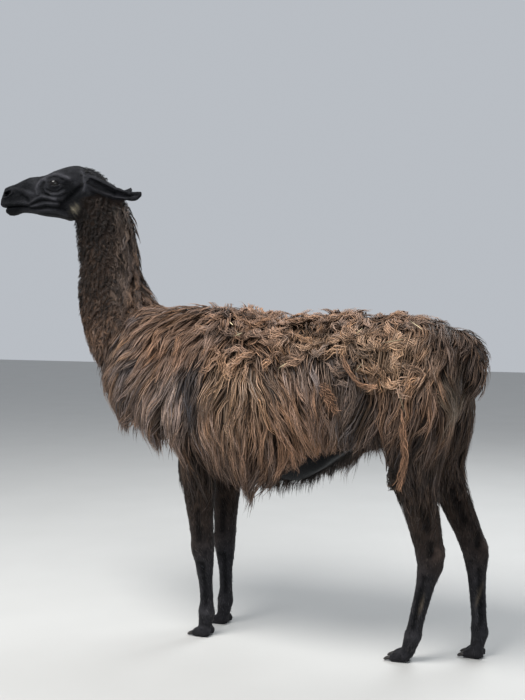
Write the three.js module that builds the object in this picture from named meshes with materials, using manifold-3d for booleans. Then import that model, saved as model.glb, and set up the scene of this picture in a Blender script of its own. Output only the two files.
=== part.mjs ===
// A llama in full coat, standing still, life size.
//
// Millimetres, +Z up. The llama faces -Y and its left side is towards +X. The origin is on
// the ground, under the middle of its length. Every outline is the coat's, out to the tips.

import * as THREE from 'three';
import { mergeVertices } from 'three/addons/utils/BufferGeometryUtils.js';
import Module from 'manifold-3d';

const wasm = await Module();
wasm.setup();

// ---------------------------------------------------------------- driving dimensions

const GAP = 0.3; // left between neighbours
const LEFT = 1;
const RIGHT = -1;

const HEAD_TURN = 30; // degrees to the llama's left
const HEAD_PIVOT = { x: 20, y: -534 }; // the top of the neck, about which the head is turned
const HEAD_LENGTH = 337; // from the pivot to the tip of the upper lip

const EYE_RADIUS = 20;
const EYE = { forward: 151, x: 55, z: 1509 };
const LIP_LEVEL = 1431;
const MOUTH_CORNER = 234; // forward of the pivot
const LOWER_LIP_FRONT = 319;
const LIP_GROOVE = { high: 3, deep: 6 };
const NOSTRIL = { forward: 312, x: 27, z: 1476, long: 13, high: 5, deep: 9 };

const TOE = { long: 68, halfWidth: 15, high: 38, spread: 16, splay: 4 };
const SOLE_CUT = 6; // how far a toe is modelled below the ground, to be cut flat
const NAIL = { long: 26, halfWidth: 8, high: 15, root: 58 }; // root: forward of the heel

const LOCK_PITCH = 118; // between the ridges of neighbouring locks on the trunk
const LOCK_RIDGE = 5; // how proud a lock stands on the side
const FRINGE_RIDGE = 11; // and at the hem of the coat
const BELLY_HOLLOW = 70; // how far the belly is hidden up between the two hems
const MANE_LOCKS = 9; // ridges round the neck, of which the back ones show
const MANE_RIDGE = 5;
const MANE_TWIST = 60; // mm of height for each radian that the locks drift sideways

const COLOURS = {
  fleece: '#4a3226',
  neck: '#2b201c',
  face: '#1b1b1e',
  legs: '#1d1a19',
  eye: '#120c09',
  nail: '#241f1c',
};

// ---------------------------------------------------------------- solids and meshes

function toSolid(geometry) {
  const bare = geometry.clone();
  bare.deleteAttribute('normal');
  bare.deleteAttribute('uv');
  const merged = mergeVertices(bare, 1e-4);
  return new wasm.Manifold(new wasm.Mesh({
    numProp: 3,
    vertProperties: merged.attributes.position.array,
    triVerts: new Uint32Array(merged.index.array),
  }));
}

function toGeometry(solid) {
  const { vertProperties, triVerts } = solid.getMesh();
  const geometry = new THREE.BufferGeometry();
  geometry.setAttribute('position', new THREE.BufferAttribute(vertProperties, 3));
  geometry.setIndex(new THREE.BufferAttribute(triVerts, 1));
  geometry.computeVertexNormals();
  return geometry;
}

function finish(colour, roughness) {
  return new THREE.MeshStandardMaterial({ color: colour, roughness, metalness: 0 });
}

function nodeOf(name, solid, colour, roughness = 0.9) {
  const mesh = new THREE.Mesh(toGeometry(solid), finish(colour, roughness));
  mesh.name = name;
  return mesh;
}

const joined = (solids) => solids.reduce((sum, solid) => sum.add(solid));
const without = (solid, cutters) => cutters.reduce((rest, cutter) => rest.subtract(cutter), solid);

// ---------------------------------------------------------------- lofts
//
// A loft is a closed skin over a row of rings. A ring is centred on (x, y, z) and spans
// X and one more direction, which points up where lean is 0 and backwards where it is 90.
//   wide          half width, along X
//   over, under   half depth to each side along that direction: over is the top or back
//   square        2 gives an ellipse, more a boxier ring

const RING_KEYS = ['x', 'y', 'z', 'wide', 'over', 'under', 'lean', 'square'];
const RING_BASE = { x: 0, lean: 0, square: 2 };

// A smooth curve through the values at the given knots, with no overshoot between them.
function curveThrough(knots, values) {
  const last = knots.length - 1;
  const slopes = values.slice(1).map((v, i) => (v - values[i]) / (knots[i + 1] - knots[i]));
  const tangents = values.map((_, i) => {
    if (i === 0) return slopes[0];
    if (i === last) return slopes[last - 1];
    const [a, b] = [slopes[i - 1], slopes[i]];
    return a * b > 0 ? (2 * a * b) / (a + b) : 0;
  });
  return (t) => {
    let i = knots.findIndex((knot, k) => k > 0 && t <= knot) - 1;
    if (i < 0) i = last - 1;
    const span = knots[i + 1] - knots[i];
    const u = (t - knots[i]) / span;
    const rise = u * u * (3 - 2 * u);
    const leave = u * (1 - u) * (1 - u) * span * tangents[i];
    const arrive = u * u * (u - 1) * span * tangents[i + 1];
    return values[i] + rise * (values[i + 1] - values[i]) + leave + arrive;
  };
}

function ringsThrough(stations, count) {
  const full = stations.map((station) => ({ ...RING_BASE, ...station }));
  const knots = full.reduce((sums, s, i) => {
    const before = full[i - 1];
    const step = before ? Math.hypot(s.x - before.x, s.y - before.y, s.z - before.z) : 0;
    return [...sums, (sums[i - 1] ?? 0) + step];
  }, []);
  const curves = RING_KEYS.map((key) => [key, curveThrough(knots, full.map((s) => s[key]))]);
  return Array.from({ length: count }, (_, i) => {
    const along = (knots.at(-1) * i) / (count - 1);
    return Object.fromEntries(curves.map(([key, curve]) => [key, curve(along)]));
  });
}

const power = (value, exponent) => Math.sign(value) * Math.abs(value) ** exponent;

function ringPoint(ring, angle, extra) {
  const lean = THREE.MathUtils.degToRad(ring.lean);
  const depth = Math.sin(angle) >= 0 ? ring.over : ring.under;
  const aside = (ring.wide + extra) * power(Math.cos(angle), 2 / ring.square);
  const up = (depth + extra) * power(Math.sin(angle), 2 / ring.square);
  return [ring.x + aside, ring.y + up * Math.sin(lean), ring.z + up * Math.cos(lean)];
}

// The same faces, turned to look the other way.
const turnedOver = (faces) => faces.map((_, i) => faces[i + [0, 1, -1][i % 3]]);

// relief(ring, angle) is the height of the locks at that place; grow swells the whole skin.
function loft(stations, { around, along, grow = 0, relief = () => 0 }) {
  const rings = ringsThrough(stations, along);
  const first = new THREE.Vector3(rings[0].x, rings[0].y, rings[0].z);
  const end = rings[along - 1];
  const last = new THREE.Vector3(end.x, end.y, end.z);
  const points = rings.flatMap((ring) => Array.from({ length: around }, (_, k) => {
    const angle = (2 * Math.PI * k) / around;
    return ringPoint(ring, angle, grow + relief(ring, angle));
  }));
  points.push(first.toArray(), last.toArray());
  const faces = [];
  const at = (i, k) => i * around + (k % around);
  for (let k = 0; k < around; k += 1) {
    for (let i = 0; i < along - 1; i += 1) {
      faces.push(at(i, k), at(i + 1, k), at(i + 1, k + 1));
      faces.push(at(i, k), at(i + 1, k + 1), at(i, k + 1));
    }
    faces.push(along * around, at(0, k), at(0, k + 1));
    faces.push(along * around + 1, at(along - 1, k + 1), at(along - 1, k));
  }
  const geometry = new THREE.BufferGeometry();
  geometry.setAttribute('position', new THREE.Float32BufferAttribute(points.flat(), 3));
  geometry.setIndex(faces);
  const solid = toSolid(geometry);
  if (solid.volume() > 0) return solid;
  geometry.setIndex(turnedOver(faces));
  return toSolid(geometry);
}

function ball(radius, [x, y, z]) {
  const geometry = new THREE.SphereGeometry(radius, 12, 8);
  return toSolid(geometry.translate(x, y, z));
}

function block([x0, y0, z0], [x1, y1, z1]) {
  const geometry = new THREE.BoxGeometry(x1 - x0, y1 - y0, z1 - z0);
  return toSolid(geometry.translate((x0 + x1) / 2, (y0 + y1) / 2, (z0 + z1) / 2));
}

const smoothstep = THREE.MathUtils.smoothstep;

// ---------------------------------------------------------------- trunk

const TRUNK = [
  { y: -528, z: 884, wide: 26, over: 24, under: 24 },
  { y: -515, z: 880, wide: 76, over: 62, under: 54 },
  { y: -490, z: 875, wide: 124, over: 108, under: 78 },
  { y: -453, z: 865, wide: 158, over: 152, under: 130 },
  { y: -400, z: 850, wide: 186, over: 204, under: 190 },
  { y: -320, z: 825, wide: 214, over: 272, under: 194 },
  { y: -220, z: 805, wide: 236, over: 302, under: 236 },
  { y: -120, z: 790, wide: 248, over: 326, under: 250 },
  { y: -20, z: 780, wide: 255, over: 328, under: 304 },
  { y: 110, z: 775, wide: 260, over: 303, under: 384 },
  { y: 250, z: 785, wide: 261, over: 293, under: 350 },
  { y: 400, z: 815, wide: 256, over: 270, under: 284 },
  { y: 520, z: 845, wide: 234, over: 240, under: 216 },
  { y: 620, z: 862, wide: 209, over: 202, under: 190 },
  { y: 690, z: 872, wide: 186, over: 168, under: 168 },
  { y: 735, z: 878, wide: 158, over: 122, under: 138 },
  { y: 765, z: 880, wide: 112, over: 72, under: 90 },
  { y: 778, z: 880, wide: 44, over: 26, under: 34 },
].map((station) => ({ square: 2.35, ...station }));

// Locks fall from the spine down each side and end in a hem, with the belly hidden between.
function trunkRelief(ring, angle) {
  const down = (1 - Math.sin(angle)) / 2;
  const under = smoothstep(down, 0.86, 1);
  const ends = smoothstep(ring.y, -520, -380) * (1 - smoothstep(ring.y, 420, 600));
  const wave = Math.cos((2 * Math.PI * ring.y) / LOCK_PITCH + 1.6 * down);
  const ridge = THREE.MathUtils.lerp(LOCK_RIDGE, FRINGE_RIDGE, smoothstep(down, 0.5, 0.85));
  return ends * (smoothstep(down, 0.08, 0.4) * (1 - under) * ridge * wave - under * BELLY_HOLLOW);
}

const trunkLoft = (grow) => loft(TRUNK, { around: 24, along: 34, grow, relief: trunkRelief });

// ---------------------------------------------------------------- neck

const NECK = [
  { x: 0, y: -430, z: 955, lean: 55, wide: 160, over: 180, under: 128 },
  { x: 0, y: -465, z: 1040, lean: 68, wide: 134, over: 160, under: 140 },
  { x: 3, y: -490, z: 1120, lean: 82, wide: 108, over: 140, under: 137 },
  { x: 6, y: -503, z: 1200, lean: 90, wide: 94, over: 122, under: 121 },
  { x: 9, y: -506, z: 1260, lean: 90, wide: 86, over: 120, under: 116 },
  { x: 13, y: -515, z: 1320, lean: 90, wide: 80, over: 121, under: 116 },
  { x: 16, y: -520, z: 1385, lean: 90, wide: 76, over: 119, under: 118 },
  { x: 18, y: -528, z: 1440, lean: 86, wide: 68, over: 104, under: 90 },
  { x: 20, y: -538, z: 1490, lean: 76, wide: 56, over: 72, under: 70 },
  { x: 20, y: -546, z: 1522, lean: 66, wide: 42, over: 44, under: 48 },
  { x: 20, y: -552, z: 1538, lean: 60, wide: 18, over: 18, under: 20 },
];

// The mane hangs in locks down the back of the neck.
function maneRelief(ring, angle) {
  const back = smoothstep(Math.sin(angle), 0.2, 0.9);
  const length = smoothstep(ring.z, 1060, 1160) * (1 - smoothstep(ring.z, 1430, 1500));
  return MANE_RIDGE * back * length * Math.cos(MANE_LOCKS * angle + ring.z / MANE_TWIST);
}

const neckLoft = (grow) => loft(NECK, { around: 18, along: 17, grow, relief: maneRelief });

// ---------------------------------------------------------------- head
//
// The head is laid out in a frame of its own, facing -Y, with its pivot on X = Y = 0.

const headPlace = new THREE.Matrix4()
  .makeRotationZ(THREE.MathUtils.degToRad(HEAD_TURN))
  .setPosition(HEAD_PIVOT.x, HEAD_PIVOT.y, 0);

function turned(solid) {
  return solid.transform(headPlace.elements);
}

// From the back of the skull to the upper lip; z is the level where the head is widest.
const HEAD = [
  { forward: -42, z: 1492, wide: 16, over: 18, under: 18 },
  { forward: -24, z: 1490, wide: 42, over: 52, under: 52 },
  { forward: 6, z: 1492, wide: 54, over: 72, under: 84 },
  { forward: 41, z: 1497, wide: 59, over: 80, under: 106 },
  { forward: 70, z: 1503, wide: 63, over: 77, under: 118 },
  { forward: 100, z: 1508, wide: 68, over: 70, under: 122 },
  { forward: 128, z: 1510, wide: 72, over: 60, under: 116 },
  { forward: 151, z: 1507, wide: 69, over: 54, under: 109 },
  { forward: 174, z: 1494, wide: 57, over: 56, under: 94 },
  { forward: 199, z: 1480, wide: 48, over: 62, under: 76 },
  { forward: 234, z: 1468, wide: 42, over: 70, under: 56, square: 2.2 },
  { forward: 263, z: 1464, wide: 40, over: 62, under: 51, square: 2.3 },
  { forward: 287, z: 1460, wide: 39, over: 53, under: 57, square: 2.4 },
  { forward: 307, z: 1458, wide: 38, over: 48, under: 55, square: 2.4 },
  { forward: 322, z: 1456, wide: 34, over: 43, under: 38, square: 2.3 },
  { forward: 331, z: 1453, wide: 27, over: 29, under: 24, square: 2.2 },
  { forward: HEAD_LENGTH, z: 1451, wide: 12, over: 8, under: 8 },
].map(({ forward, ...rest }) => ({ y: -forward, ...rest }));

const skullLoft = (grow, along = 27) => loft(HEAD, { around: 20, along, grow });

const eyeBall = (side, grow) => (
  ball(EYE_RADIUS + grow, [side * EYE.x, -EYE.forward, EYE.z])
);

function nostril(side) {
  const { long, high, deep } = NOSTRIL;
  const slit = new THREE.SphereGeometry(1, 12, 8).scale(deep, long, high);
  slit.rotateX(THREE.MathUtils.degToRad(-38));
  slit.rotateZ(THREE.MathUtils.degToRad(side * 24));
  return toSolid(slit.translate(side * NOSTRIL.x, -NOSTRIL.forward, NOSTRIL.z));
}

// The line between the lips, and the step where the upper lip hangs over the lower one.
function mouth() {
  const clear = 60; // well outside the lips
  const front = -HEAD_LENGTH - clear;
  const top = LIP_LEVEL + LIP_GROOVE.high / 2;
  const slab = block([-clear, front, top - LIP_GROOVE.high], [clear, -MOUTH_CORNER, top]);
  const step = block([-clear, front, top - clear], [clear, -LOWER_LIP_FRONT, top]);
  return slab.subtract(skullLoft(-LIP_GROOVE.deep, 14)).add(step);
}

// ---------------------------------------------------------------- ears
//
// Long and curved like a banana, laid back along the neck with the tip turned up.

const EAR = [
  { x: 42, y: -56, z: 1531, lean: 27, wide: 10, over: 13, under: 13 },
  { x: 51, y: -38, z: 1522, lean: 27, wide: 16, over: 24, under: 25 },
  { x: 62, y: 0, z: 1502, lean: 27, wide: 18, over: 27, under: 28 },
  { x: 68, y: 30, z: 1487, lean: 24, wide: 17, over: 28, under: 27 },
  { x: 71, y: 66, z: 1474, lean: 14, wide: 15, over: 24, under: 23 },
  { x: 70, y: 100, z: 1468, lean: -4, wide: 12, over: 16, under: 15 },
  { x: 67, y: 120, z: 1469, lean: -20, wide: 10, over: 13, under: 12 },
  { x: 65, y: 135, z: 1475, lean: -34, wide: 9, over: 10, under: 10 },
  { x: 63, y: 143, z: 1480, lean: -40, wide: 5, over: 5, under: 6 },
];
const EAR_OPENING = { aside: 8, share: 0.5 }; // shifted out of the ear; its share of the height
const EAR_SET = {
  [LEFT]: { raise: 0, splay: 0 },
  [RIGHT]: { raise: 11, splay: 31 }, // degrees, about the root
};

// Turns an ear about its root, which stays in the skull.
function setEar(solid, side) {
  const { raise, splay } = EAR_SET[side];
  const root = new THREE.Vector3(side * EAR[0].x, EAR[0].y, EAR[0].z);
  const place = new THREE.Matrix4()
    .makeTranslation(root)
    .multiply(new THREE.Matrix4().makeRotationZ(THREE.MathUtils.degToRad(-side * splay)))
    .multiply(new THREE.Matrix4().makeRotationX(THREE.MathUtils.degToRad(raise)))
    .multiply(new THREE.Matrix4().makeTranslation(root.clone().negate()));
  return solid.transform(place.elements);
}

function ear(side, grow) {
  const shell = EAR.map((s) => ({ ...s, x: side * s.x }));
  return setEar(loft(shell, { around: 10, along: 11, grow }), side);
}

function earHollow(side) {
  const { aside, share } = EAR_OPENING;
  const inner = EAR.slice(1, -1).map((s) => ({
    ...s,
    x: side * (s.x + aside),
    over: s.over * share,
    under: s.under * share,
  }));
  return setEar(loft(inner, { around: 6, along: 6 }), side);
}

// ---------------------------------------------------------------- legs
//
// A limb is a chain of joints, with its half width and half depth given along each bone.

function limb(joints, bones, grow, count) {
  const stations = bones.flatMap((sizes, i) => {
    const [a, b] = [joints[i], joints[i + 1]];
    return sizes.map(([share, wide, deep]) => ({
      x: THREE.MathUtils.lerp(a[0], b[0], share),
      y: THREE.MathUtils.lerp(a[1], b[1], share),
      z: THREE.MathUtils.lerp(a[2], b[2], share),
      lean: 90,
      wide,
      over: deep,
      under: deep,
    }));
  });
  return loft(stations, { around: 10, along: count, grow });
}

const RINGS_PER_BONE = 4;

const PASTERN = [[0.45, 27, 29], [0.8, 27, 29], [1, 20, 22]];

const FOREARM = [[0, 60, 82], [0.22, 56, 71], [0.45, 48, 55], [0.68, 41, 45], [0.86, 37, 41]];
const CANNON = [[0, 37, 39], [0.2, 32, 34], [0.42, 24, 26], [0.8, 21, 24], [1, 24, 26]];

const THIGH = [[0, 64, 80], [0.1, 98, 116], [0.3, 116, 136], [0.6, 108, 120], [0.85, 90, 98]];
const GASKIN = [[0, 78, 84], [0.35, 58, 61], [0.62, 46, 52], [0.85, 38, 47]];
const SHANK = [
  [0, 35, 45], [0.16, 31, 39], [0.34, 26, 30], [0.62, 22, 27], [0.9, 22, 25], [1, 25, 28],
];

const LEGS = {
  leg_front_left: {
    side: LEFT,
    joints: [[125, -115, 640], [89, -103, 285], [77, -95, 95], [75, -108, 12]],
    bones: [FOREARM, CANNON, PASTERN],
    heel: -78,
  },
  leg_front_right: {
    side: RIGHT,
    joints: [[-125, -115, 640], [-89, -108, 275], [-77, -98, 95], [-75, -110, 12]],
    bones: [FOREARM, CANNON, PASTERN],
    heel: -81,
  },
  leg_hind_left: {
    side: LEFT,
    joints: [[138, 622, 905], [116, 612, 590], [84, 662, 325], [64, 598, 72], [61, 578, 12]],
    bones: [THIGH, GASKIN, SHANK, PASTERN],
    heel: 594,
  },
  leg_hind_right: {
    side: RIGHT,
    joints: [[-138, 618, 905], [-116, 636, 590], [-84, 760, 332], [-64, 780, 72], [-61, 768, 12]],
    bones: [THIGH, GASKIN, SHANK, PASTERN],
    heel: 796,
  },
};

// One toe, with its heel on Y = 0 and its sole just below Z = 0.
const TOE_STATIONS = [
  { back: 0, level: 0.4, wide: 0.47, over: 0.2, under: 0.26, sole: 0 },
  { back: 0.1, level: 0.4, wide: 0.85, over: 0.5, under: 0.4, sole: SOLE_CUT },
  { back: 0.45, level: 0.4, wide: 1, over: 0.6, under: 0.4, sole: SOLE_CUT },
  { back: 0.8, level: 0.35, wide: 0.95, over: 0.38, under: 0.35, sole: SOLE_CUT },
  { back: 1, level: 0.3, wide: 0.5, over: 0.12, under: 0.2, sole: 0 },
].map(({ back, level, wide, over, under, sole }) => ({
  y: -TOE.long * back,
  z: TOE.high * level,
  wide: TOE.halfWidth * wide,
  over: TOE.high * over,
  under: TOE.high * under + sole,
  square: 2.3,
}));

// One nail, with its root on Y = 0 and its point turned down.
const NAIL_STATIONS = [
  { out: -0.3, level: 0.75, wide: 0.5, over: 0.2, under: 0.2 },
  { out: 0, level: 0.75, wide: 1, over: 0.5, under: 0.4 },
  { out: 0.55, level: 0.6, wide: 0.8, over: 0.33, under: 0.4 },
  { out: 0.9, level: 0.35, wide: 0.25, over: 0.1, under: 0.13 },
].map(({ out, level, wide, over, under }) => ({
  y: -NAIL.long * out,
  z: NAIL.high * level,
  wide: NAIL.halfWidth * wide,
  over: NAIL.high * over,
  under: NAIL.high * under,
}));

function placedAt(solid, x, y, degrees) {
  const turn = new THREE.Matrix4().makeRotationZ(THREE.MathUtils.degToRad(degrees));
  return solid.transform(turn.setPosition(x, y, 0).elements);
}

// Which way each of the two toes lies from the middle of the foot, on either side.
const TOES = [['outer', 1], ['inner', -1]];

function onToe(solid, leg, way) {
  const foot = leg.joints.at(-1);
  const out = leg.side * way;
  return placedAt(solid, foot[0] + (out * TOE.spread), leg.heel, out * TOE.splay);
}

function onNail(solid, leg, way) {
  return onToe(solid.translate([0, -NAIL.root, 0]), leg, way);
}

const ground = block([-400, -400, -50], [400, 1000, 0]); // clear of all four feet

function legSolid(leg, grow) {
  const toes = TOES.map(([, way]) => (
    onToe(loft(TOE_STATIONS, { around: 8, along: 6, grow }), leg, way)
  ));
  const shaft = limb(leg.joints, leg.bones, grow, leg.bones.length * RINGS_PER_BONE);
  return joined([shaft, ...toes]).subtract(ground);
}

const nailSolid = (leg, way, grow) => (
  onNail(loft(NAIL_STATIONS, { around: 6, along: 4, grow }), leg, way)
);

// ---------------------------------------------------------------- tail

const TAIL = [
  { y: 690, z: 1002, lean: 15, wide: 46, over: 34, under: 40 },
  { y: 726, z: 986, lean: 38, wide: 58, over: 46, under: 50 },
  { y: 758, z: 950, lean: 64, wide: 66, over: 62, under: 52 },
  { y: 768, z: 906, lean: 84, wide: 66, over: 58, under: 50 },
  { y: 765, z: 860, lean: 92, wide: 60, over: 50, under: 45 },
  { y: 758, z: 824, lean: 95, wide: 48, over: 38, under: 38 },
  { y: 752, z: 800, lean: 95, wide: 24, over: 18, under: 18 },
];

const tailLoft = (grow) => loft(TAIL, { around: 12, along: 10, grow });

// ---------------------------------------------------------------- the animal, parted by thin gaps

const legs = Object.entries(LEGS);
const hindLegs = legs.filter(([name]) => name.includes('hind'));
const sides = [['left', LEFT], ['right', RIGHT]];

const thighSpace = hindLegs.map(([, leg]) => legSolid(leg, GAP));
const trunk = without(trunkLoft(0), thighSpace);

const skull = turned(without(skullLoft(0), [
  mouth(),
  ...sides.flatMap(([, side]) => [eyeBall(side, GAP), nostril(side)]),
]));
const skullSpace = turned(skullLoft(GAP));

const neck = without(neckLoft(0), [
  trunkLoft(GAP),
  skullSpace,
  ...sides.map(([, side]) => turned(ear(side, GAP))),
]);

const tail = without(tailLoft(0), [trunkLoft(GAP), ...thighSpace]);

const llama = new THREE.Group();

llama.add(nodeOf('trunk', trunk, COLOURS.fleece, 1));
llama.add(nodeOf('neck', neck, COLOURS.neck, 1));
llama.add(nodeOf('head', skull, COLOURS.face, 0.7));
llama.add(nodeOf('tail', tail, COLOURS.fleece, 1));

for (const [name, side] of sides) {
  const shell = ear(side, 0).subtract(earHollow(side));
  llama.add(nodeOf(`ear_${name}`, turned(shell).subtract(skullSpace), COLOURS.face, 0.7));
  llama.add(nodeOf(`eye_${name}`, turned(eyeBall(side, 0)), COLOURS.eye, 0.1));
}

for (const [name, leg] of legs) {
  const body = name.includes('front') ? [trunkLoft(GAP)] : [];
  const nails = TOES.map(([, way]) => nailSolid(leg, way, GAP));
  llama.add(nodeOf(name, without(legSolid(leg, 0), [...body, ...nails]), COLOURS.legs, 0.8));
  for (const [toe, way] of TOES) {
    const place = name.replace('leg', 'nail');
    llama.add(nodeOf(`${place}_${toe}`, nailSolid(leg, way, 0), COLOURS.nail, 0.4));
  }
}

export default llama;
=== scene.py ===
"""A life-size llama in its long coat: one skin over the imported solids, and locks of wool on it."""

import math

import bmesh
import bpy
import numpy as np
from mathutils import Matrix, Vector, kdtree
from mathutils.bvhtree import BVHTree


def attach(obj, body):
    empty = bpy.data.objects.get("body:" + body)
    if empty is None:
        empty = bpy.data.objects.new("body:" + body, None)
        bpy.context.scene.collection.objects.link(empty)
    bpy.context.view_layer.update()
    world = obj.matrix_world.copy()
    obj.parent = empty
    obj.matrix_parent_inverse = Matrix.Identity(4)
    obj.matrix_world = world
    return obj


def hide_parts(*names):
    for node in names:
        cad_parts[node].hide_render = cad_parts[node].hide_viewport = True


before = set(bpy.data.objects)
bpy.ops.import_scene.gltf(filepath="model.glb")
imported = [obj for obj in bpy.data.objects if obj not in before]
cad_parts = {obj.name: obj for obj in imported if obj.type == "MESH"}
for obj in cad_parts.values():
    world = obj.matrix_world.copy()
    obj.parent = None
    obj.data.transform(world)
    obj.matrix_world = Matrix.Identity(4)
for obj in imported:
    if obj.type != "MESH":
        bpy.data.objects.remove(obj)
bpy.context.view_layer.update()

MM = 0.001
WAVES = 7  # plane waves that make up a random field

# ------------------------------------------------------------------ the animal's own frame

LEGS = ["leg_front_left", "leg_front_right", "leg_hind_left", "leg_hind_right"]
EARS = ["ear_left", "ear_right"]
FLESH = ["trunk", "neck", "head", "tail", *EARS, *LEGS]
SIDES = {"left": 1, "right": -1}

NECK_TOP = np.array([0.020, -0.534, 0.0])  # the head is turned about this upright line
HEAD_TURN = math.radians(30)
TRUNK_MIDDLE = np.array([0.0, 0.15, 0.80])
HEAD_MIDDLE = np.array([0.085, -0.647, 1.49])

EYE = np.array([0.151, 0.055, 1.509])  # forward, aside and up, in the head's frame
EYE_RADIUS = 0.020
NOSTRIL = np.array([0.312, 0.027, 1.476])


def head_frame(points):
    """World points as forward, left and up of the turned head."""
    d = points - NECK_TOP
    c, s = math.cos(HEAD_TURN), math.sin(HEAD_TURN)
    return np.stack([s * d[:, 0] - c * d[:, 1], c * d[:, 0] + s * d[:, 1], d[:, 2]], 1)


def world_turn(vectors):
    """Vectors of the head's frame, turned into the world."""
    c, s = math.cos(HEAD_TURN), math.sin(HEAD_TURN)
    f, left, up = vectors.T
    return np.stack([c * left + s * f, s * left - c * f, up], 1)


def smoothstep(x, low, high):
    t = np.clip((x - low) / (high - low), 0, 1)
    return t * t * (3 - 2 * t)


def unit(vectors):
    return vectors / np.maximum(np.linalg.norm(vectors, axis=-1, keepdims=True), 1e-9)


def bell(*offsets):
    """1 in the middle, falling off smoothly, from offsets given in half widths."""
    return np.exp(-sum(offset**2 for offset in offsets))


def waves(seed, length):
    """A smooth random field in space, mostly within -1 and 1."""
    source = np.random.default_rng(seed)
    k = unit(source.normal(size=(WAVES, 3))) * (2 * math.pi / length)
    k *= source.uniform(0.6, 1.5, (WAVES, 1))
    phase = source.uniform(0, 2 * math.pi, WAVES)
    return lambda p: np.sin(p @ k.T + phase).sum(1) / math.sqrt(WAVES)


# ------------------------------------------------------------------ plain mesh tools


def read(items, key, width, kind=np.int32):
    """One property of all of a mesh's points, edges, corners or triangles, as rows."""
    values = np.empty(len(items) * width, kind)
    items.foreach_get(key, values)
    return values.reshape(-1, width)


def write(items, key, values, kind=np.float32):
    items.foreach_set(key, np.ascontiguousarray(values, kind).ravel())


def points_of(mesh):
    return read(mesh.vertices, "co", 3, np.float32).astype(float)


def set_points(mesh, co):
    write(mesh.vertices, "co", co)
    mesh.update()


def triangles_of(mesh):
    mesh.calc_loop_triangles()
    return read(mesh.loop_triangles, "vertices", 3)


def face_normals(co, tri):
    """The normal of each face, as long as twice its area."""
    a, b, c = co[tri].transpose(1, 0, 2)
    return np.cross(b - a, c - a)


def normals_of(co, tri):
    face = face_normals(co, tri)
    total = np.zeros_like(co)
    for corner in range(3):
        for axis in range(3):
            total[:, axis] += np.bincount(tri[:, corner], face[:, axis], len(co))
    return unit(total)


class Web:
    """The edges of a mesh, for smoothing values over it."""

    def __init__(self, edges, count):
        self.a, self.b = edges.T
        self.count = count
        degree = np.bincount(self.a, minlength=count) + np.bincount(self.b, minlength=count)
        self.degree = np.maximum(degree, 1)[:, None]

    def mean(self, values):
        total = np.empty_like(values)
        for i in range(values.shape[1]):
            column = values[:, i]
            total[:, i] = np.bincount(self.a, column[self.b], self.count)
            total[:, i] += np.bincount(self.b, column[self.a], self.count)
        return total / self.degree

    def smooth(self, values, rounds, weight=1.0, back=0.0):
        """back near 0.53 keeps the volume of a shape that is smoothed."""
        values = values.copy()
        for _ in range(rounds):
            values += 0.5 * weight * (self.mean(values) - values)
            if back:
                values -= back * weight * (self.mean(values) - values)
        return values


def mesh_of(bm, name):
    mesh = bpy.data.meshes.new(name)
    bm.to_mesh(mesh)
    bm.free()
    return mesh


def shade_smooth(mesh):
    write(mesh.polygons, "use_smooth", np.ones(len(mesh.polygons)), bool)


def new_object(name, data):
    piece = bpy.data.objects.new(name, data)
    bpy.context.scene.collection.objects.link(piece)
    return piece


def set_attribute(mesh, name, kind, values):
    layer = mesh.attributes.new(name, kind, "POINT")
    key = {"FLOAT": "value", "FLOAT_VECTOR": "vector", "FLOAT_COLOR": "color"}[kind]
    write(layer.data, key, values)


# ------------------------------------------------------------------ the outer shape, as one mesh
#
# Space is swollen round the head and drawn in round the trunk before the voxel remesh, so that
# one even grid gives the head fine faces and the trunk coarse ones.

VOXEL = 0.0068
TRUNK_SPACE = ((0, 0.45, 1.0, 9.0), (0, 0.25, 1.0, 9.0))
HEAD_SPACE = ((0, 0.22, 0.9, 9.0), (0, 0.60, 0.9, 9.0))


def rescaled(points, middle, here, there):
    offset = points - middle
    reach = np.maximum(np.linalg.norm(offset, axis=1), 1e-9)
    return middle + offset * (np.interp(reach, here, there) / reach)[:, None]


def swollen(points):
    points = rescaled(points, TRUNK_MIDDLE, *TRUNK_SPACE)
    return rescaled(points, HEAD_MIDDLE, *HEAD_SPACE)


def shrunk(points):
    points = rescaled(points, HEAD_MIDDLE, *HEAD_SPACE[::-1])
    return rescaled(points, TRUNK_MIDDLE, *TRUNK_SPACE[::-1])


LONGEST_EDGE = 0.025


def joined_solids():
    bm = bmesh.new()
    for name in [*FLESH, "eye_left", "eye_right"]:
        bm.from_mesh(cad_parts[name].data)
    bmesh.ops.remove_doubles(bm, verts=bm.verts, dist=1e-5)
    for _ in range(6):
        long_edges = [e for e in bm.edges if e.calc_length() > LONGEST_EDGE]
        if not long_edges:
            break
        bmesh.ops.subdivide_edges(bm, edges=long_edges, cuts=1)
        bmesh.ops.triangulate(bm, faces=bm.faces)
    return mesh_of(bm, "solids")


def remeshed(mesh):
    piece = new_object("remesh", mesh)
    modifier = piece.modifiers.new("voxels", "REMESH")
    modifier.mode = "VOXEL"
    modifier.voxel_size = VOXEL
    shape = piece.evaluated_get(bpy.context.evaluated_depsgraph_get())
    result = bpy.data.meshes.new_from_object(shape)
    bpy.data.objects.remove(piece)
    return result


def refined(mesh, regions):
    """Splits the faces wholly inside each region, given as (test of points, times)."""
    bm = bmesh.new()
    bm.from_mesh(mesh)
    for inside, times in regions:
        for _ in range(times):
            co = np.array([v.co for v in bm.verts])
            chosen = inside(co)
            edges = [e for e in bm.edges if chosen[e.verts[0].index] and chosen[e.verts[1].index]]
            bmesh.ops.subdivide_edges(bm, edges=edges, cuts=1, use_grid_fill=True)
            bm.verts.index_update()
    bmesh.ops.triangulate(bm, faces=bm.faces)
    return mesh_of(bm, "body")


def near_eyes(reach):
    def test(co):
        h = head_frame(co)
        h[:, 1] = np.abs(h[:, 1])
        return np.linalg.norm(h - EYE, axis=1) < reach
    return test


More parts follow.
